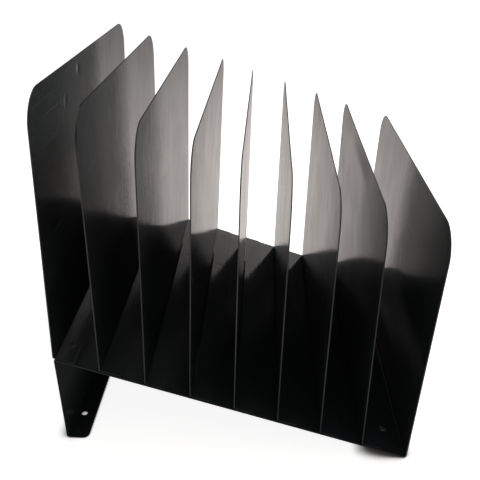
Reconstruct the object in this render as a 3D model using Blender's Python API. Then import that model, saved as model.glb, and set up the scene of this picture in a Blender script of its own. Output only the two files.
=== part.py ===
"""Desktop incline file sorter: one folded steel base sheet carrying eight spot-welded dividers.

X runs across the slots from the raised end to the low end, Y runs from the front to the back, and
Z is up. The sorter stands on Z = 0 with its origin below the middle of its bounding box.
"""
from math import atan2, copysign, cos, pi, radians, sin, tan

import bmesh
import bpy
from mathutils import Matrix, Vector

# Sheet steel, in metres
SHEET = 0.0009             # thickness of the painted sheet
BEND_RADIUS = 0.0022       # of every fold, to the middle of the sheet
BEND_STEPS = 5
CORNER_STEPS = 7

# The row of slots
DIVIDER_COUNT = 8
PITCH = 0.036              # from one divider to the next, measured level
STEP = 0.011               # the floor's drop from one divider to the next
DEPTH = 0.305              # front to back
PLATE_HEIGHT = 0.212       # from the floor to a divider's top edge
PLATE_CORNER = 0.025       # radius of the plates' top corners
WELD_GAP = 0.0003          # between a divider's flange and the floor that it is welded to

# Each divider is an L, folded by hand, so no two of them stand at quite the same angle
DIVIDER_LEANS = (1.9, 0.4, 1.0, 1.5, 0.6, 0.3, -0.1, -0.9)   # degrees towards the low end
FLANGE_WIDTH = 0.019
FLANGE_INSET = 0.001
FLANGE_CORNER = 0.004

# The base sheet is foot, leg, sloping floor and end wall in one strip
END_WALL_LEAN = 1.0        # degrees
END_WALL_OFFSET = 0.0022   # the last slot is this much wider than the others
FOOT_WIDTH = 0.018
FOOT_CORNER = 0.005
FOOT_INSET = 0.006         # the leg tapers to this from the front and back edges
LEG_INSET = 0.002

# Four plain holes through the base sheet, two near the front and two near the back
HOLE_RADIUS = 0.003
HOLE_SEGMENTS = 24
FOOT_HOLE_X = 0.0075       # from the leg
FOOT_HOLE_Y = 0.035        # from the front or back edge
FLOOR_HOLE_X = 0.016       # from the end wall
FLOOR_HOLE_Y = 0.027

SLOPE = atan2(STEP, PITCH)
BLACK_ENAMEL = (0.012, 0.015, 0.016, 1.0)


def clear_scene():
    for item in list(bpy.data.objects):
        bpy.data.objects.remove(item, do_unlink=True)


def painted_steel(name):
    """A glossy black enamel of the object's own."""
    material = bpy.data.materials.new(name)
    material.use_nodes = True
    shader = material.node_tree.nodes["Principled BSDF"]
    shader.inputs["Base Color"].default_value = BLACK_ENAMEL
    shader.inputs["Roughness"].default_value = 0.22
    shader.inputs["Metallic"].default_value = 0.0
    return material


def upright(lean_degrees):
    """The direction up a plate, in the XZ plane, that leans towards the low end."""
    lean = radians(lean_degrees)
    return Vector((sin(lean), cos(lean)))


def turned(heading, angle):
    return Matrix.Rotation(angle, 2) @ heading


def corner_insets(radius, along_from_edge):
    """Steps round a rounded outline corner: how far along the sheet, and how far in from its side."""
    angles = [pi / 2 * step / CORNER_STEPS for step in range(CORNER_STEPS + 1)]
    steps = [(radius * (1 - sin(angle)), radius * (1 - cos(angle))) for angle in angles]
    return list(reversed(steps)) if along_from_edge else steps


def folded_rows(corners, insets, first_radius, last_radius):
    """Rows across a folded strip, each a point and heading in the XZ plane, and a side inset.

    corners are the strip's ends and its sharp fold lines, at the middle of the sheet. insets gives
    the side inset before and after each fold.
    """
    first_heading = (corners[1] - corners[0]).normalized()
    rows = [
        (corners[0] + first_heading * along, first_heading, insets[0][0] + inset)
        for along, inset in corner_insets(first_radius, True)
    ]
    for before, corner, after, (inset_in, inset_out) in zip(corners, corners[1:], corners[2:], insets):
        heading = (corner - before).normalized()
        heading_out = (after - corner).normalized()
        turn = atan2(heading.x * heading_out.y - heading.y * heading_out.x, heading.dot(heading_out))
        start = corner - heading * BEND_RADIUS * tan(abs(turn) / 2)
        side = turned(heading, copysign(pi / 2, turn)) * BEND_RADIUS
        for step in range(BEND_STEPS + 1):
            angle = turn * step / BEND_STEPS
            point = start + heading * BEND_RADIUS * sin(abs(angle)) + side * (1 - cos(angle))
            inset = inset_in + (inset_out - inset_in) * step / BEND_STEPS
            rows.append((point, turned(heading, angle), inset))
    last_heading = (corners[-1] - corners[-2]).normalized()
    rows += [
        (corners[-1] - last_heading * along, last_heading, insets[-1][1] + inset)
        for along, inset in corner_insets(last_radius, False)
    ]
    return rows


def sheet_mesh(name, rows):
    """A closed sheet of even thickness over the rows, symmetric about the XZ plane."""
    mesh = bmesh.new()
    rings = []
    for point, heading, inset in rows:
        across = turned(heading, pi / 2) * SHEET / 2
        reach = DEPTH / 2 - inset
        outline = [(1, -reach), (1, reach), (-1, reach), (-1, -reach)]
        ring = []
        for face, y in outline:
            spot = point + across * face
            ring.append(mesh.verts.new((spot.x, y, spot.y)))
        rings.append(ring)
    for ring, following in zip(rings, rings[1:]):
        for index in range(4):
            after = (index + 1) % 4
            mesh.faces.new((ring[index], ring[after], following[after], following[index]))
    mesh.faces.new(rings[0])
    mesh.faces.new(rings[-1])
    bmesh.ops.recalc_face_normals(mesh, faces=mesh.faces)
    data = bpy.data.meshes.new(name)
    mesh.to_mesh(data)
    mesh.free()
    data.shade_smooth()
    data.set_sharp_from_angle(angle=radians(30))
    return data


def add_node(name, data, parent, place):
    node = bpy.data.objects.new(name, data)
    bpy.context.scene.collection.objects.link(node)
    node.parent = parent
    node.location = place
    data.materials.append(painted_steel(name + "_enamel"))
    return node


def end_corner_height():
    """Height where floor and end wall would meet in a sharp corner, so that their fold rests on Z = 0."""
    wall = pi / 2 - radians(END_WALL_LEAN)
    reach = (cos(SLOPE) + cos(wall)) / (1 + cos(SLOPE + wall))
    return BEND_RADIUS + SHEET / 2 - BEND_RADIUS * reach


def floor_height(x, above_middle):
    """Height of the sloping floor's middle surface at x, or of one parallel to it."""
    end_x = DIVIDER_COUNT * PITCH + END_WALL_OFFSET
    return end_corner_height() + (end_x - x) * tan(SLOPE) + above_middle / cos(SLOPE)


def base_sheet(parent):
    """Foot, leg, floor and end wall as one strip, with the middle of the leg at X = 0."""
    end = Vector((DIVIDER_COUNT * PITCH + END_WALL_OFFSET, end_corner_height()))
    corners = [
        Vector((FOOT_WIDTH, SHEET / 2)),
        Vector((0.0, SHEET / 2)),
        Vector((0.0, floor_height(0.0, 0.0))),
        end,
        end + upright(END_WALL_LEAN) * (PLATE_HEIGHT + SHEET / 2),
    ]
    insets = [(FOOT_INSET, FOOT_INSET), (LEG_INSET, 0.0), (0.0, 0.0)]
    rows = folded_rows(corners, insets, FOOT_CORNER, PLATE_CORNER)
    node = add_node("base_sheet", sheet_mesh("base_sheet", rows), parent, (0.0, 0.0, 0.0))
    floor_x = end.x - FLOOR_HOLE_X
    spots = [(FOOT_HOLE_X, FOOT_HOLE_Y, SHEET / 2), (floor_x, FLOOR_HOLE_Y, floor_height(floor_x, 0.0))]
    for hole, (x, from_edge, z) in zip(("foot", "floor"), spots):
        for side in (-1, 1):
            place = (x, side * (DEPTH / 2 - from_edge), z)
            cut_hole(node, "%s_hole_%d" % (hole, side), parent, place, SLOPE if hole == "floor" else 0.0)


def cut_hole(node, name, parent, place, tilt):
    """Cut a round hole square through the sheet, with a cutter that isn't part of the sorter."""
    mesh = bmesh.new()
    bmesh.ops.create_cone(
        mesh,
        cap_ends=True,
        segments=HOLE_SEGMENTS,
        radius1=HOLE_RADIUS,
        radius2=HOLE_RADIUS,
        depth=6 * SHEET,
    )
    data = bpy.data.meshes.new(name)
    mesh.to_mesh(data)
    mesh.free()
    cutter = bpy.data.objects.new(name, data)
    bpy.context.scene.collection.objects.link(cutter)
    cutter.parent = parent
    cutter.location = place
    cutter.rotation_euler = (0.0, tilt, 0.0)
    cutter.hide_render = True
    cutter.display_type = "WIRE"
    boolean = node.modifiers.new(name, "BOOLEAN")
    boolean.operation = "DIFFERENCE"
    boolean.solver = "EXACT"
    boolean.object = cutter


def divider(number, lean, parent):
    """An upright plate with a flange along its foot that lies down the slope on the floor."""
    x = (number - 1) * PITCH
    foot = Vector((0.0, (WELD_GAP + SHEET / 2) / cos(SLOPE)))
    down_slope = Vector((cos(SLOPE), -sin(SLOPE)))
    corners = [foot + down_slope * FLANGE_WIDTH, foot, upright(lean) * PLATE_HEIGHT]
    rows = folded_rows(corners, [(FLANGE_INSET, 0.0)], FLANGE_CORNER, PLATE_CORNER)
    name = "divider_%d" % number
    add_node(name, sheet_mesh(name, rows), parent, (x, 0.0, floor_height(x, SHEET / 2)))


def main():
    clear_scene()
    left = -SHEET / 2
    wall_lean = radians(END_WALL_LEAN)
    wall_top = (PLATE_HEIGHT + SHEET / 2) * sin(wall_lean) + SHEET / 2 * cos(wall_lean)
    right = DIVIDER_COUNT * PITCH + END_WALL_OFFSET + wall_top
    origin = bpy.data.objects.new("sorter_origin", None)
    bpy.context.scene.collection.objects.link(origin)
    origin.location = (-(left + right) / 2, 0.0, 0.0)
    base_sheet(origin)
    for number, lean in enumerate(DIVIDER_LEANS, start=1):
        divider(number, lean, origin)


main()
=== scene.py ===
"""Looks of the desktop incline file sorter: glossy black enamelled sheet steel on a pale studio floor.

Each sheet is drawn as a flat blank, with its holes and rounded corners, and then folded, so that the
bends, the spot welds, the thin rounded cut edges and the slight waves of real sheet are all geometry.
"""
from math import atan2, copysign, cos, exp, hypot, pi, radians, sin, sqrt, tan

import bmesh
import bpy
from mathutils import Matrix, Vector, noise


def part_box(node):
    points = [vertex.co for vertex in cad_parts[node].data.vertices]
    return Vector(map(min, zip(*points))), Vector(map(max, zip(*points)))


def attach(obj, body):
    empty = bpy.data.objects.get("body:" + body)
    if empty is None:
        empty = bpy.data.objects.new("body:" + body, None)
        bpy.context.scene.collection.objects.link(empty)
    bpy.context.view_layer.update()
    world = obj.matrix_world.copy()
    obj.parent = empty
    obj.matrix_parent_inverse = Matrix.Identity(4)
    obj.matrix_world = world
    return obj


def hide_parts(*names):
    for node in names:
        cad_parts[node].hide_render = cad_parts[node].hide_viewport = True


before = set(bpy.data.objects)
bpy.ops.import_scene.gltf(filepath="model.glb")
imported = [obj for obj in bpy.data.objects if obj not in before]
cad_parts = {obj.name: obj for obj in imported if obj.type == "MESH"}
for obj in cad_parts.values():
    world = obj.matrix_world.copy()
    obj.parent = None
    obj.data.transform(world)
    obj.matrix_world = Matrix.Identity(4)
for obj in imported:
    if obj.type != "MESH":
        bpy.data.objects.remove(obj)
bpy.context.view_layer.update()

# The design's own sizes, in metres, as in the CAD
SHEET = 0.0009
BEND_RADIUS = 0.0022
DIVIDER_COUNT = 8
PITCH = 0.036
STEP = 0.011
SLOPE = atan2(STEP, PITCH)
PLATE_HEIGHT = 0.212
PLATE_CORNER = 0.025
WELD_GAP = 0.0003
DIVIDER_LEANS = (1.9, 0.4, 1.0, 1.5, 0.6, 0.3, -0.1, -0.9)
FLANGE_WIDTH = 0.019
FLANGE_INSET = 0.001
FLANGE_CORNER = 0.004
END_WALL_LEAN = 1.0
END_WALL_OFFSET = 0.0022
FOOT_WIDTH = 0.018
FOOT_CORNER = 0.005
FOOT_INSET = 0.006
LEG_INSET = 0.002
HOLE_RADIUS = 0.003
FOOT_HOLE_X = 0.0075
FOOT_HOLE_Y = 0.035
FLOOR_HOLE_X = 0.016
FLOOR_HOLE_Y = 0.027

# What the frame gives: the leg's plane, and the depth
LEG_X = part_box("base_sheet")[0].x + SHEET / 2
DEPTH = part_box("base_sheet")[1].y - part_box("base_sheet")[0].y
END_X = LEG_X + DIVIDER_COUNT * PITCH + END_WALL_OFFSET

# Fine shape that only the visible sheets have
DIVIDER_TWISTS = (-0.2, 0.2, 0.05, 0.65, 0.35, 0.35, 0.5, 0.6)   # degrees more lean at the back
WAVE = 0.00022             # height of the sheets' long waves
WAVES_PER_METRE = 9.0
STIFF_FOOT = 0.05          # height over which a plate's foot is too stiff to wave fully
RIM_ROUND = 0.00036        # radius of the enamel over a cut edge
RIM_BAND = 0.0007          # the worn band along a cut edge
GRID = 0.008               # mesh spacing on the open sheet
CLOSEST_LINES = 0.00001    # mesh lines nearer to each other than this are one line
BEND_STEPS = 10
CORNER_STEPS = 14
WELD_COUNT = 5
WELD_INLINE = 0.0095       # a weld's distance from the flange's free edge
WELD_END = 0.022           # the first and last weld's distance from the sheet's front and back edges
WELD_RADIUS = 0.0021
WELD_DEPTH = 0.00006
WELD_STEEPNESS = 10.0      # of the print's rim
WELD_PATCH = 1.8 * WELD_RADIUS   # half the square of fine mesh round a weld
DENTS = {                  # by divider: below the top edge, y, size up and along the plate, and depth
    1: ((0.0107, -0.030, 0.0038, 0.0038, 0.00040), (0.0265, -0.070, 0.0040, 0.0030, 0.00020)),
    7: ((0.011, 0.086, 0.008, 0.022, 0.00060),),
    8: ((0.015, 0.020, 0.011, 0.050, 0.00080),),
}
HOLE_PATCH = 0.0045        # half the square of mesh that a hole is drawn in


# ---------------------------------------------------------------- camera, light and stage

CAMERA_LENS = 46.6
CAMERA_FROM_DIVIDER_5 = (0.0137, -0.3847, 0.3599)   # from the front of that divider's foot
CAMERA_TURN = radians(-1.76)
CAMERA_DOWN = radians(27.78)
CAMERA_ROLL = radians(1.26)
FLOOR_HALF = 9.0
FLOOR_GAP = 0.0002
FLOOR_COLOUR = (0.82, 0.765, 0.745, 1.0)
FLOOR_GLOW = 0.10          # what the sorter sees of the floor's own light
FLOOR_OVEREXPOSED = 0.90   # what the camera sees of it, so that the picture's ground is white
CONTACT_REACH = 0.013      # how far from the sorter its painted contact shadow reaches
CONTACT_DARKEST = 0.45     # the share of open floor around a spot at which its painted shadow is full
SKY = (                    # elevations in degrees, and how bright it is there
    (0, 0.16), (15, 0.20), (22, 0.56), (26, 0.54), (30, 0.14), (33, 0.19), (37, 0.36), (45, 0.05),
)
SKY_TINT = (1.0, 0.94, 0.92)
SKY_LEFT = 0.14            # the screens on the left are this much as bright as those on the right
SKY_CHANGE = (-0.10, 0.15)   # the directions' X over which they brighten
BACKDROP = (1.0, 1.0, 1.0, 1.0)
LAMP_COLOUR = (1.0, 0.985, 0.965)
CEILING_LIGHT = 0.40
CEILING_LIGHT_FROM = (-0.25, -0.10, 1.0)
CEILING_LIGHT_ANGLE = 70   # degrees across
SOFTBOX = 7.9              # watts
SOFTBOX_SIZE = 0.45
SOFTBOX_PLACE = (0.50, 0.36, 0.90)


def end_corner_height():
    wall = pi / 2 - radians(END_WALL_LEAN)
    reach = (cos(SLOPE) + cos(wall)) / (1 + cos(SLOPE + wall))
    return BEND_RADIUS + SHEET / 2 - BEND_RADIUS * reach


def floor_height(x, above_middle):
    """Height at x of a surface parallel to the middle of the sloping floor."""
    return end_corner_height() + (END_X - x) * tan(SLOPE) + above_middle / cos(SLOPE)


def add_camera():
    data = bpy.data.cameras.new("camera")
    data.lens = CAMERA_LENS
    data.sensor_width = 36.0
    camera = bpy.data.objects.new("camera", data)
    bpy.context.scene.collection.objects.link(camera)
    x = LEG_X + 4 * PITCH
    foot = Vector((x, -DEPTH / 2, floor_height(x, SHEET / 2)))
    place = foot + Vector(CAMERA_FROM_DIVIDER_5)
    ahead = Vector((sin(CAMERA_TURN), cos(CAMERA_TURN), 0.0))
    forward = ahead * cos(CAMERA_DOWN) - Vector((0.0, 0.0, sin(CAMERA_DOWN)))
    level = Vector((cos(CAMERA_TURN), -sin(CAMERA_TURN), 0.0))
    above = level.cross(forward)
    right = level * cos(CAMERA_ROLL) + above * sin(CAMERA_ROLL)
    up = above * cos(CAMERA_ROLL) - level * sin(CAMERA_ROLL)
    facing = Matrix((right, up, -forward)).transposed().to_4x4()
    camera.matrix_world = Matrix.Translation(place) @ facing
    bpy.context.scene.camera = camera


def stage_material():
    """A pale floor, overexposed in the picture, as product pictures are, with a painted contact shadow
    next to the sorter. The sorter mirrors it duller.
    """
    material = bpy.data.materials.new("pale_floor")
    material.use_nodes = True
    nodes, links = material.node_tree.nodes, material.node_tree.links
    shader = nodes["Principled BSDF"]
    shader.inputs["Base Color"].default_value = FLOOR_COLOUR
    shader.inputs["Roughness"].default_value = 0.9
    shader.inputs["Specular IOR Level"].default_value = 0.0
    shader.inputs["Emission Color"].default_value = (1.0, 1.0, 1.0, 1.0)
    # painted contact shadow: ambient occlusion darkens the glow that the camera sees of the floor near
    # the sorter
    contact = nodes.new("ShaderNodeAmbientOcclusion")
    contact.inputs["Distance"].default_value = CONTACT_REACH
    shadow = nodes.new("ShaderNodeMapRange")
    shadow.interpolation_type = "SMOOTHSTEP"
    shadow.inputs["From Min"].default_value = CONTACT_DARKEST
    links.new(contact.outputs["AO"], shadow.inputs["Value"])
    seen = nodes.new("ShaderNodeMath")
    seen.operation = "MULTIPLY"
    seen.inputs[1].default_value = FLOOR_OVEREXPOSED
    links.new(shadow.outputs["Result"], seen.inputs[0])
    glow = nodes.new("ShaderNodeMapRange")
    glow.inputs["To Min"].default_value = FLOOR_GLOW
    links.new(seen.outputs[0], glow.inputs["To Max"])
    links.new(nodes.new("ShaderNodeLightPath").outputs["Is Camera Ray"], glow.inputs["Value"])
    links.new(glow.outputs["Result"], shader.inputs["Emission Strength"])
    return material


def add_stage():
    """A plain pale floor, far wider than the view."""
    mesh = bmesh.new()
    bmesh.ops.create_grid(mesh, x_segments=8, y_segments=8, size=FLOOR_HALF)
    data = bpy.data.meshes.new("studio_floor")
    mesh.to_mesh(data)
    mesh.free()
    floor = bpy.data.objects.new("studio_floor", data)
    bpy.context.scene.collection.objects.link(floor)
    floor.location.z = -FLOOR_GAP
    data.materials.append(stage_material())


def add_world():
    """Pale screens stand along the horizon, dim above them, and the picture's backdrop is white."""
    world = bpy.data.worlds.new("studio")
    bpy.context.scene.world = world
    world.use_nodes = True
    nodes, links = world.node_tree.nodes, world.node_tree.links
    direction = nodes.new("ShaderNodeTexCoord")
    split = nodes.new("ShaderNodeSeparateXYZ")
    links.new(direction.outputs["Generated"], split.inputs[0])
    ramp = nodes.new("ShaderNodeValToRGB")
    stops = ramp.color_ramp.elements
    while len(stops) < len(SKY):
        stops.new(0.5)
    for stop, (elevation, bright) in zip(stops, SKY):
        stop.position = sin(radians(elevation))
        stop.color = (*(bright * tint for tint in SKY_TINT), 1.0)
    links.new(split.outputs["Z"], ramp.inputs["Fac"])
    links.new(ramp.outputs["Color"], nodes["Background"].inputs["Color"])
    side = nodes.new("ShaderNodeMapRange")
    side.inputs["From Min"].default_value = SKY_CHANGE[0]
    side.inputs["From Max"].default_value = SKY_CHANGE[1]
    side.inputs["To Min"].default_value = SKY_LEFT
    links.new(split.outputs["X"], side.inputs["Value"])
    links.new(side.outputs["Result"], nodes["Background"].inputs["Strength"])
    backdrop = nodes.new("ShaderNodeBackground")
    backdrop.inputs["Color"].default_value = BACKDROP
    seen = nodes.new("ShaderNodeMixShader")
    links.new(nodes.new("ShaderNodeLightPath").outputs["Is Camera Ray"], seen.inputs["Fac"])
    links.new(nodes["Background"].outputs["Background"], seen.inputs[1])
    links.new(backdrop.outputs["Background"], seen.inputs[2])
    links.new(seen.outputs["Shader"], nodes["World Output"].inputs["Surface"])


def add_ceiling_light():
    """Light from a wide pale ceiling, a little from the left and the front."""
    data = bpy.data.lights.new("ceiling_light", "SUN")
    data.angle = radians(CEILING_LIGHT_ANGLE)
    data.energy = CEILING_LIGHT
    data.color = LAMP_COLOUR
    light = bpy.data.objects.new("ceiling_light", data)
    bpy.context.scene.collection.objects.link(light)
    light.rotation_euler = (-Vector(CEILING_LIGHT_FROM)).to_track_quat("-Z", "Y").to_euler()


def add_softbox():
    """A square softbox above and to the right, which lights a pool of floor behind the sorter."""
    data = bpy.data.lights.new("softbox", "AREA")
    data.size = SOFTBOX_SIZE
    data.energy = SOFTBOX
    data.color = LAMP_COLOUR
    light = bpy.data.objects.new("softbox", data)
    bpy.context.scene.collection.objects.link(light)
    light.location = SOFTBOX_PLACE
    light.visible_glossy = False


# ---------------------------------------------------------------- folded sheets

def turned(heading, angle):
    return Matrix.Rotation(angle, 2) @ heading


def upright(lean_degrees):
    lean = radians(lean_degrees)
    return Vector((sin(lean), cos(lean)))


def fold_runs(corners):
    """Straight runs and bends along a folded sheet's middle, each a length, start, heading and turn."""
    runs = []
    here = corners[0]
    for before, corner, after in zip(corners, corners[1:], corners[2:]):
        heading = (corner - before).normalized()
        heading_out = (after - corner).normalized()
        turn = atan2(heading.x * heading_out.y - heading.y * heading_out.x, heading.dot(heading_out))
        cut = BEND_RADIUS * tan(abs(turn) / 2)
        bend_start = corner - heading * cut
        runs.append(((bend_start - here).length, here, heading, 0.0))
        runs.append((BEND_RADIUS * abs(turn), bend_start, heading, turn))
        here = corner + heading_out * cut
    runs.append(((corners[-1] - here).length, here, (corners[-1] - here).normalized(), 0.0))
    return runs


def on_fold(runs, along):
    """The point and heading in the XZ plane at a distance along the sheet."""
    for length, start, heading, turn in runs[:-1]:
        if along <= length:
            break
        along -= length
    else:
        length, start, heading, turn = runs[-1]
    if turn == 0.0:
        return start + heading * along, heading
    angle = turn * along / length
    side = turned(heading, copysign(pi / 2, turn)) * BEND_RADIUS
    point = start + heading * BEND_RADIUS * sin(abs(angle)) + side * (1 - cos(angle))
    return point, turned(heading, angle)


def spaced(low, high, wanted, spacing):
    """Mesh lines from low to high: the wanted ones, and regular ones in the open stretches between."""
    lines = [low]
    for value in sorted(wanted):
        if lines[-1] + CLOSEST_LINES < value < high - CLOSEST_LINES:
            lines.append(value)
    lines.append(high)
    result = []
    for start, stop in zip(lines, lines[1:]):
        count = max(1, round((stop - start) / spacing))
        result += [start + (stop - start) * step / count for step in range(count)]
    return result + [high]


def corner_rows(radius):
    angles = [pi / 2 * step / CORNER_STEPS for step in range(CORNER_STEPS + 1)]
    return [radius * (1 - sin(angle)) for angle in angles]


def corner_inset(radius, from_edge):
    """How far a rounded corner draws the side edge in, at a distance from the end edge."""
    if from_edge >= radius:
        return 0.0
    return radius - sqrt(max(0.0, radius ** 2 - (radius - from_edge) ** 2))


class Blank:
    """A flat sheet, to be folded: its runs, side insets and corner radii, its holes, welds and dents."""

    def __init__(self, corners, insets, first_radius, last_radius, holes=(), welds=(), dents=()):
        self.runs = fold_runs(corners)
        self.insets = insets
        self.first_radius = first_radius
        self.last_radius = last_radius
        self.holes = holes
        self.welds = welds
        self.length = sum(run[0] for run in self.runs)
        self.dents = [(self.length - below_top, *rest) for below_top, *rest in dents]

    def fold_starts(self):
        starts, along = [], 0.0
        for run in self.runs:
            starts.append(along)
            along += run[0]
        return starts

    def reach(self, along):
        """Half the sheet's width there."""
        stops = [(0.0, self.insets[0][0])]
        for start, run, (before, after) in zip(self.fold_starts()[1::2], self.runs[1::2], self.insets):
            stops += [(start, before), (start + run[0], after)]
        stops.append((self.length, self.insets[-1][1]))
        inset = stops[-1][1]
        for (low, low_inset), (high, high_inset) in zip(stops, stops[1:]):
            if along <= high:
                inset = low_inset + (high_inset - low_inset) * (along - low) / max(high - low, 1e-9)
                break
        inset += corner_inset(self.first_radius, along)
        inset += corner_inset(self.last_radius, self.length - along)
        return DEPTH / 2 - inset

    def rows(self):
        wanted = list(self.fold_starts())
        for start, run in zip(self.fold_starts()[1::2], self.runs[1::2]):
            wanted += [start + run[0] * step / BEND_STEPS for step in range(BEND_STEPS + 1)]
        wanted += corner_rows(self.first_radius) + [RIM_BAND]
        wanted += [self.length - row for row in corner_rows(self.last_radius)] + [self.length - RIM_BAND]
        for along, _ in self.holes:
            wanted += [along + HOLE_PATCH * step / 3 for step in range(-3, 4)]
        if self.welds:
            along = self.welds[0][0]
            wanted += [along + WELD_PATCH * step / 5 for step in range(-5, 6)]
        for along, _, up, _, _ in self.dents:
            wanted += [along + up * step / 2 for step in range(-4, 5)]
        return spaced(0.0, self.length, wanted, GRID)

    def columns(self):
        """Across the sheet, from -1 to 1 of its half width."""
        wanted = [side * (1 - RIM_BAND * 2 / DEPTH) for side in (-1, 1)]
        for along, y in self.holes:
            wanted += [(y + HOLE_PATCH * step / 3) / self.reach(along) for step in range(-3, 4)]
        for along, y in self.welds:
            wanted += [(y + WELD_PATCH * step / 5) / self.reach(along) for step in range(-5, 6)]
        for along, y, _, across, _ in self.dents:
            wanted += [(y + across * step / 2) / self.reach(along) for step in range(-4, 5)]
        return spaced(-1.0, 1.0, wanted, GRID * 2 / DEPTH)


def weld_dimple(distance):
    """Depth of the print that a spot welder's tip leaves: a flat dish with a soft rim."""
    return WELD_DEPTH / (1 + exp((distance / WELD_RADIUS - 1) * WELD_STEEPNESS))


def folded_sheet(name, blank, seed, twist_degrees=0.0, calm_end=False, wide_flange_edge_band=False):
    """Builds the blank's mesh and folds it, with its waves, welds and dents."""
    mesh = bmesh.new()
    rim = mesh.verts.layers.float.new("rim")
    weld = mesh.verts.layers.float.new("weld")
    rows, columns = blank.rows(), blank.columns()
    plate_start = blank.fold_starts()[-1]
    plate_length = blank.runs[-1][0]

    def add_vertex(along, y, worn):
        point, heading = on_fold(blank.runs, along)
        across = turned(heading, pi / 2)
        up_plate = max(0.0, along - plate_start)
        slack = min(1.0, up_plate / STIFF_FOOT)
        if calm_end:
            slack *= max(0.0, 1 - up_plate / plate_length)
        wave = noise.noise(Vector((y * WAVES_PER_METRE, along * WAVES_PER_METRE, seed * 7.31)))
        offset = WAVE * wave * slack - up_plate * radians(twist_degrees) * y / DEPTH
        for dent_along, dent_y, up, across_y, depth in blank.dents:
            offset += depth * exp(-((along - dent_along) / up) ** 2 - ((y - dent_y) / across_y) ** 2)
        print_depth = 0.0
        for weld_along, weld_y in blank.welds:
            distance = hypot(along - weld_along, y - weld_y)
            if distance < WELD_RADIUS * 2:
                print_depth += weld_dimple(distance)
        spot = point + across * (offset + print_depth)
        vertex = mesh.verts.new((spot.x, y, spot.y))
        vertex[rim] = worn
        vertex[weld] = print_depth / WELD_DEPTH
        return vertex

    grid = []
    for along in rows:
        reach = blank.reach(along)
        at_end = along in (rows[0], rows[-1])
        # the row next to a divider flange's free edge is marked 0.8, which widens the darker band, with
        # its chips, along that edge
        near_flange_edge = wide_flange_edge_band and abs(along - RIM_BAND) < CLOSEST_LINES
        plain = 1.0 if at_end else 0.8 if near_flange_edge else 0.0
        wear = [1.0 if abs(column) == 1.0 else plain for column in columns]
        grid.append([add_vertex(along, column * reach, worn) for column, worn in zip(columns, wear)])
    in_patch = set()
    for along, y in blank.holes:
        cut_hole(mesh, blank, rows, columns, grid, in_patch, along, y, add_vertex)
    for row in range(len(rows) - 1):
        for column in range(len(columns) - 1):
            if (row, column) not in in_patch:
                near, far = grid[row], grid[row + 1]
                mesh.faces.new((near[column], near[column + 1], far[column + 1], far[column]))
    loose = [vertex for vertex in mesh.verts if not vertex.link_faces]
    bmesh.ops.delete(mesh, geom=loose, context="VERTS")
    bmesh.ops.recalc_face_normals(mesh, faces=mesh.faces)
    data = bpy.data.meshes.new(name)
    mesh.to_mesh(data)
    mesh.free()
    data.shade_smooth()
    piece = bpy.data.objects.new(name, data)
    bpy.context.scene.collection.objects.link(piece)
    thick = piece.modifiers.new("thickness", "SOLIDIFY")
    thick.thickness = SHEET
    thick.offset = 0.0
    rounded = piece.modifiers.new("enamelled_edge", "BEVEL")
    rounded.width = RIM_ROUND
    rounded.segments = 4
    rounded.limit_method = "ANGLE"
    rounded.angle_limit = radians(50)
    return piece


def nearest(lines, wanted):
    """The index of the mesh line closest to a place."""
    return min(range(len(lines)), key=lambda index: abs(lines[index] - wanted))


def cut_hole(mesh, blank, rows, columns, grid, in_patch, along, y, add_vertex):
    """Leaves a square out of the grid and fills it with rings that end in a round hole."""
    reach = blank.reach(along)
    widths = [column * reach for column in columns]
    row_low, row_high = nearest(rows, along - HOLE_PATCH), nearest(rows, along + HOLE_PATCH)
    column_low, column_high = nearest(widths, y - HOLE_PATCH), nearest(widths, y + HOLE_PATCH)
    for row in range(row_low, row_high):
        in_patch.update((row, column) for column in range(column_low, column_high))
    loop = [(row_low, column) for column in range(column_low, column_high)]
    loop += [(row, column_high) for row in range(row_low, row_high)]
    loop += [(row_high, column) for column in range(column_high, column_low, -1)]
    loop += [(row, column_low) for row in range(row_high, row_low, -1)]
    outer = [grid[row][column] for row, column in loop]
    angles = [atan2(widths[column] - y, rows[row] - along) for row, column in loop]
    for radius, worn in ((HOLE_RADIUS + RIM_BAND, 0.0), (HOLE_RADIUS, 1.0)):
        ring = [(along + radius * cos(angle), y + radius * sin(angle)) for angle in angles]
        inner = [add_vertex(*spot, worn) for spot in ring]
        for index in range(len(outer)):
            after = (index + 1) % len(outer)
            mesh.faces.new((outer[index], outer[after], inner[after], inner[index]))
        outer = inner


# ---------------------------------------------------------------- enamel

DIVIDER_SHADE_COATS = (1.00, 1.00, 0.84, 0.83, 0.93, 0.71, 0.66, 0.56)   # painted shade: the share of clear top coat each divider gets, cut on some dividers so that they mirror less light and look darker
BASE_COAT = 0.99
UNDERSIDE_SHADE_COAT = 0.06           # painted shade: the coat kept on the leg, the foot and the underside, so that they mirror little light and stay dark
THIN_BLACK = (0.034, 0.043, 0.045, 1.0)
DEEP_BLACK = (0.028, 0.037, 0.039, 1.0)
WORN_BLACK = (0.026, 0.029, 0.031, 1.0)
BASE_IOR = 1.12            # of the black under the clear coat
BASE_ROUGHNESS = (0.34, 0.42)
COAT_IOR = 1.75
COAT_ROUGHNESS = 0.07
SCUFF = (0.62, 0.60, 0.58, 1.0)
BARE_STEEL = (0.11, 0.11, 0.11, 1.0)
DUST = (0.16, 0.15, 0.14, 1.0)
PEEL_SIZE = 0.0022         # of the orange peel's bumps
PEEL_HEIGHT = 0.0000020
STREAK_HEIGHT = 0.0000040
GRAIN_HEIGHT = 0.000040    # of the sheet's rolling grain, which blurs reflections sideways only
DRAG_DEPTH = 0.0000025
FAINT_DRAGS = 0.12         # how strong the many small drag marks are beside the long ones
SCRATCH_WIDTH = 0.00045
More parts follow.
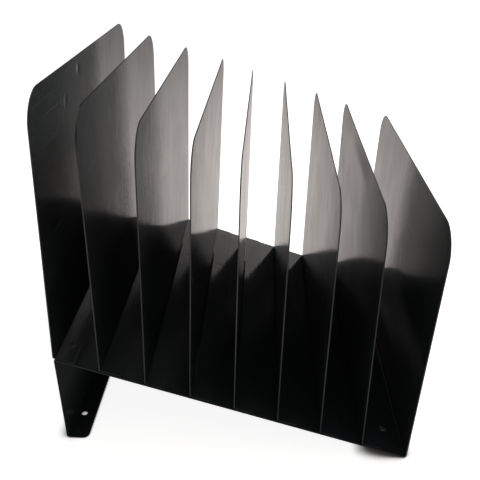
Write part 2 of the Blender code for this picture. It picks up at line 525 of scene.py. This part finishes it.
SCRATCHES = {              # by divider: where each long drag mark starts and stops, y and z
    2: (
        ((0.024, 0.2080), (-0.084, 0.1955)),
        ((-0.040, 0.1700), (-0.008, 0.1625)),
        ((-0.034, 0.1755), (-0.012, 0.1715)),
    ),
    3: (((0.020, 0.1980), (-0.066, 0.1992)),),
    4: (((-0.020, 0.2210), (-0.070, 0.2165)),),
    7: (((-0.100, 0.1420), (-0.030, 0.1395)),),
}


class Nodes:
    """The nodes of one material, with short ways to add the usual ones."""

    def __init__(self, material):
        material.use_nodes = True
        self.tree = material.node_tree
        self.shader = self.tree.nodes["Principled BSDF"]
        self.place = self.tree.nodes.new("ShaderNodeTexCoord").outputs["Object"]

    def feed(self, socket, value):
        if isinstance(value, bpy.types.NodeSocket):
            self.tree.links.new(value, socket)
        else:
            socket.default_value = value

    def math(self, operation, first, second=0.0, clamp=False):
        node = self.tree.nodes.new("ShaderNodeMath")
        node.operation = operation
        node.use_clamp = clamp
        self.feed(node.inputs[0], first)
        self.feed(node.inputs[1], second)
        return node.outputs[0]

    def vector(self, operation, first, second, result="Vector"):
        node = self.tree.nodes.new("ShaderNodeVectorMath")
        node.operation = operation
        self.feed(node.inputs[0], first)
        self.feed(node.inputs[1], second)
        return node.outputs[result]

    def span(self, value, low, high, at_low=0.0, at_high=1.0):
        """Maps low..high to at_low..at_high, smoothly, and holds it beyond."""
        node = self.tree.nodes.new("ShaderNodeMapRange")
        node.interpolation_type = "SMOOTHSTEP"
        for socket, number in zip(list(node.inputs)[:5], (value, low, high, at_low, at_high)):
            self.feed(socket, number)
        return node.outputs["Result"]

    def noise(self, sizes, seed, detail=2.0):
        """Noise whose features measure the given sizes in metres along X, Y and Z."""
        scaled = self.vector("MULTIPLY", self.place, tuple(1 / size for size in sizes))
        moved = self.vector("ADD", scaled, (seed * 3.7, seed * 5.3, seed * 7.9))
        node = self.tree.nodes.new("ShaderNodeTexNoise")
        node.inputs["Scale"].default_value = 1.0
        node.inputs["Detail"].default_value = detail
        self.feed(node.inputs["Vector"], moved)
        return node.outputs["Fac"]

    def mixed(self, share, first, second):
        node = self.tree.nodes.new("ShaderNodeMix")
        node.data_type = "RGBA"
        self.feed(node.inputs["Factor"], share)
        self.feed(node.inputs[6], first)
        self.feed(node.inputs[7], second)
        return node.outputs[2]

    def painted(self, attribute):
        node = self.tree.nodes.new("ShaderNodeAttribute")
        node.attribute_name = attribute
        return node.outputs["Fac"]


def scratch_share(nodes, start, stop):
    """One on a straight mark between two places on a plate, fading to zero SCRATCH_WIDTH beside it."""
    first = Vector((0.0, *start))
    run = Vector((0.0, *stop)) - first
    flat = nodes.vector("MULTIPLY", nodes.place, (0.0, 1.0, 1.0))
    offset = nodes.vector("SUBTRACT", flat, first)
    along = nodes.vector("DOT_PRODUCT", offset, run, "Value")
    share = nodes.math("DIVIDE", along, run.length_squared, clamp=True)
    scaled = nodes.tree.nodes.new("ShaderNodeVectorMath")
    scaled.operation = "SCALE"
    scaled.inputs[0].default_value = run
    nodes.feed(scaled.inputs["Scale"], share)
    distance = nodes.vector("DISTANCE", offset, scaled.outputs["Vector"], "Value")
    return nodes.span(distance, 0.0, SCRATCH_WIDTH, 1.0, 0.0)


def run_of_sheet(nodes, seed, fine, length):
    """Noise drawn out along the grain: down the plates, and front to back on the floor and flanges."""
    down = nodes.noise((fine, fine, length), seed + 0.3)
    along = nodes.noise((fine, length, fine), seed + 0.6)
    normal = nodes.tree.nodes.new("ShaderNodeNewGeometry").outputs["Normal"]
    lying = nodes.math("ABSOLUTE", nodes.vector("DOT_PRODUCT", normal, (0.0, 0.0, 1.0), "Value"))
    level = nodes.span(lying, 0.4, 0.8)
    down = nodes.math("MULTIPLY", down, nodes.math("SUBTRACT", 1.0, level))
    return nodes.math("ADD", down, nodes.math("MULTIPLY", along, level))


def black_enamel(name, seed, gloss, scratches=(), shade_underside=False):
    """Glossy black enamel over steel: orange peel, streaks, drag marks, smudges, dust and thin edges."""
    material = bpy.data.materials.new(name)
    nodes = Nodes(material)
    shader = nodes.shader
    smudge = nodes.noise((0.045, 0.045, 0.045), seed, 4.0)
    streak = run_of_sheet(nodes, seed, 0.0035, 0.12)
    grain = run_of_sheet(nodes, seed + 0.9, 0.0009, 0.05)
    peel = nodes.noise((PEEL_SIZE, PEEL_SIZE, PEEL_SIZE), seed + 0.1, 1.0)
    drag = nodes.span(nodes.noise((0.01, 0.11, 0.0011), seed + 0.8, 1.0), 0.70, 0.80)
    drag = nodes.math("MULTIPLY", drag, FAINT_DRAGS)
    for start, stop in scratches:
        drag = nodes.math("MAXIMUM", drag, scratch_share(nodes, start, stop))
    speck = nodes.span(nodes.noise((0.0011, 0.0011, 0.0011), seed + 0.2, 0.0), 0.80, 0.86)
    dusty = nodes.span(nodes.noise((0.06, 0.06, 0.06), seed + 0.4, 2.0), 0.45, 0.70)
    dust = nodes.math("MULTIPLY", speck, dusty)
    rim = nodes.span(nodes.painted("rim"), 0.55, 1.0)
    chip_noise = nodes.noise((0.0016, 0.0032, 0.0032), seed + 0.5, 3.0)
    chip = nodes.math("MULTIPLY", rim, nodes.span(chip_noise, 0.66, 0.70))
    weld = nodes.painted("weld")

    colour = nodes.mixed(nodes.span(smudge, 0.35, 0.65), DEEP_BLACK, THIN_BLACK)
    colour = nodes.mixed(nodes.math("MULTIPLY", rim, 0.75), colour, WORN_BLACK)
    colour = nodes.mixed(nodes.math("MULTIPLY", drag, 0.80), colour, SCUFF)
    colour = nodes.mixed(nodes.math("MULTIPLY", weld, 0.15), colour, WORN_BLACK)
    colour = nodes.mixed(nodes.math("MULTIPLY", dust, 0.6), colour, DUST)
    colour = nodes.mixed(chip, colour, BARE_STEEL)
    nodes.feed(shader.inputs["Base Color"], colour)

    rough = nodes.span(smudge, 0.3, 0.7, *BASE_ROUGHNESS)
    rough = nodes.math("ADD", rough, nodes.math("MULTIPLY", dust, 0.3))
    rough = nodes.math("ADD", rough, nodes.math("MULTIPLY", drag, 0.15), clamp=True)
    nodes.feed(shader.inputs["Roughness"], rough)

    streaked = nodes.span(streak, 0.3, 0.7, 0.94, 1.06)
    coat = nodes.math("MULTIPLY", streaked, nodes.span(smudge, 0.3, 0.7, gloss * 1.06, gloss * 0.94))
    # painted shade: below the sloping floor the coat is thinned, so that the leg, the foot and the
    # underside stay dark
    if shade_underside:
        height = nodes.vector("DOT_PRODUCT", nodes.place, (tan(SLOPE), 0.0, 1.0), "Value")
        floor = floor_height(0.0, 0.0)
        dull = nodes.span(height, floor - 0.0002, floor, UNDERSIDE_SHADE_COAT / gloss, 1.0)
        coat = nodes.math("MULTIPLY", coat, dull)
    covered = nodes.math("SUBTRACT", 1.0, nodes.math("MAXIMUM", dust, chip))
    coat = nodes.math("MULTIPLY", coat, covered)
    nodes.feed(shader.inputs["Coat Weight"], coat)

    height = nodes.math("MULTIPLY", peel, PEEL_HEIGHT)
    for share, its_height in ((streak, STREAK_HEIGHT), (grain, GRAIN_HEIGHT), (drag, -DRAG_DEPTH)):
        height = nodes.math("ADD", height, nodes.math("MULTIPLY", share, its_height))
    bump = nodes.tree.nodes.new("ShaderNodeBump")
    bump.inputs["Distance"].default_value = 1.0
    nodes.feed(bump.inputs["Height"], height)
    nodes.feed(shader.inputs["Normal"], bump.outputs["Normal"])
    nodes.feed(shader.inputs["Coat Normal"], bump.outputs["Normal"])

    shader.inputs["IOR"].default_value = BASE_IOR
    shader.inputs["Coat Roughness"].default_value = COAT_ROUGHNESS
    shader.inputs["Coat IOR"].default_value = COAT_IOR
    return material


# ---------------------------------------------------------------- the sorter's pieces

def weld_places():
    first = DEPTH / 2 - WELD_END
    return [(WELD_INLINE, first * (2 * index / (WELD_COUNT - 1) - 1)) for index in range(WELD_COUNT)]


def add_divider(number):
    x = LEG_X + (number - 1) * PITCH
    floor = Vector((x, floor_height(x, SHEET / 2)))
    foot = floor + Vector((0.0, (WELD_GAP + SHEET / 2) / cos(SLOPE)))
    down_slope = Vector((cos(SLOPE), -sin(SLOPE)))
    top = floor + upright(DIVIDER_LEANS[number - 1]) * PLATE_HEIGHT
    corners = [foot + down_slope * FLANGE_WIDTH, foot, top]
    dents = DENTS.get(number, ())
    insets = [(FLANGE_INSET, 0.0)]
    blank = Blank(corners, insets, FLANGE_CORNER, PLATE_CORNER, welds=weld_places(), dents=dents)
    name = "divider_%d" % number
    piece = folded_sheet(name + "_sheet", blank, number, DIVIDER_TWISTS[number - 1], wide_flange_edge_band=True)
    # painted shade: the divider's own coat share dims its mirrored light
    coat, scratches = DIVIDER_SHADE_COATS[number - 1], SCRATCHES.get(number, ())
    piece.data.materials.append(black_enamel(name + "_black_enamel", number, coat, scratches))
    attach(piece, "root")
    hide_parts(name)


def add_base():
    end = Vector((END_X, end_corner_height()))
    corners = [
        Vector((LEG_X + FOOT_WIDTH, SHEET / 2)),
        Vector((LEG_X, SHEET / 2)),
        Vector((LEG_X, floor_height(LEG_X, 0.0))),
        end,
        end + upright(END_WALL_LEAN) * (PLATE_HEIGHT + SHEET / 2),
    ]
    insets = [(FOOT_INSET, FOOT_INSET), (LEG_INSET, 0.0), (0.0, 0.0)]
    plain = Blank(corners, insets, FOOT_CORNER, PLATE_CORNER)
    floor_start, floor_run = plain.fold_starts()[4], plain.runs[4]
    foot_hole = FOOT_WIDTH - FOOT_HOLE_X
    floor_hole = floor_start + (END_X - FLOOR_HOLE_X - floor_run[1].x) / cos(SLOPE)
    holes = [(foot_hole, side * (DEPTH / 2 - FOOT_HOLE_Y)) for side in (-1, 1)]
    holes += [(floor_hole, side * (DEPTH / 2 - FLOOR_HOLE_Y)) for side in (-1, 1)]
    blank = Blank(corners, insets, FOOT_CORNER, PLATE_CORNER, holes=holes)
    piece = folded_sheet("base_sheet_folded", blank, 0, calm_end=True)
    piece.data.materials.append(black_enamel("base_black_enamel", 0, BASE_COAT, shade_underside=True))
    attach(piece, "root")
    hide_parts("base_sheet")


bpy.context.scene.view_settings.view_transform = "Standard"
add_camera()
add_world()
add_stage()
add_ceiling_light()
add_softbox()
add_base()
for divider_number in range(1, DIVIDER_COUNT + 1):
    add_divider(divider_number)
